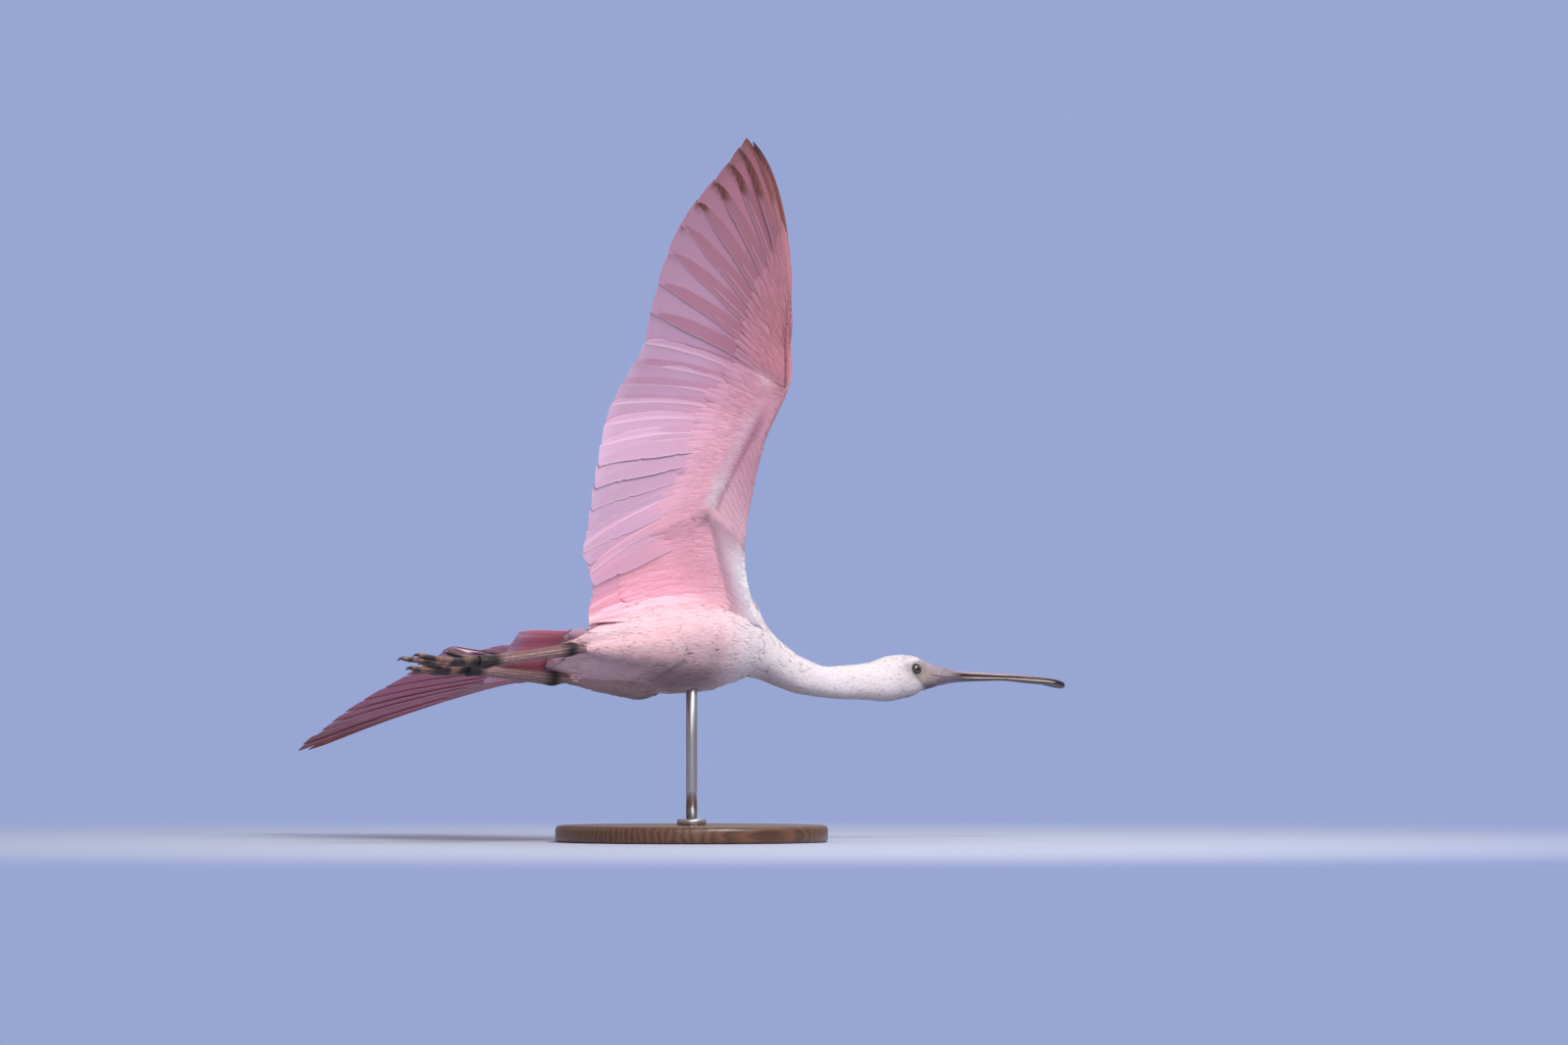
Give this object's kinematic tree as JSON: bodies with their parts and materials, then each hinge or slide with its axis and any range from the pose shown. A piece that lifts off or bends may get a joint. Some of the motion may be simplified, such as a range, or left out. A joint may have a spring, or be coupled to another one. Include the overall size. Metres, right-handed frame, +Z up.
{
  "type": "roseate spoonbill",
  "caption": "Life-size young roseate spoonbill banking in flight, wings spread, on a round wooden base with a steel rod.",
  "frame": {"origin": "centre of the underside of the round base", "axes": "+X is the way the bird flies, +Y its left, +Z up; the bird is banked 40 degrees to its left and pitched 3 degrees nose down, with its head level"},
  "size_m": [0.8937, 0.8183, 0.7707],
  "materials": {
    "body_feathers": "soft white to pink body feathers",
    "flight_feathers": "smooth lilac-pink quill feathers",
    "eye": "dark wet eye",
    "bill_horn": "satin horn",
    "leg_skin": "scaly skin",
    "dark_wood": "satin varnished walnut",
    "steel": "satin steel"
  },
  "bodies": {
    "root": {"trunk": "body_feathers", "wing_right_arm": "body_feathers", "wing_right_secondaries": "flight_feathers", "wing_right_hand": "body_feathers", "wing_right_primaries": "flight_feathers", "wing_left_arm": "body_feathers", "wing_left_secondaries": "flight_feathers", "wing_left_hand": "body_feathers", "wing_left_primaries": "flight_feathers", "neck": "body_feathers", "head": "body_feathers", "eye_right": "eye", "eye_left": "eye", "bill_upper": "bill_horn", "bill_lower": "bill_horn", "tail": "flight_feathers", "leg_right_thigh": "body_feathers", "leg_right_shank": "leg_skin", "leg_right_foot": "leg_skin", "leg_left_thigh": "body_feathers", "leg_left_shank": "leg_skin", "leg_left_foot": "leg_skin", "stand_base": "dark_wood", "stand_collar": "steel", "stand_rod": "steel"}
  },
  "joints": []
}
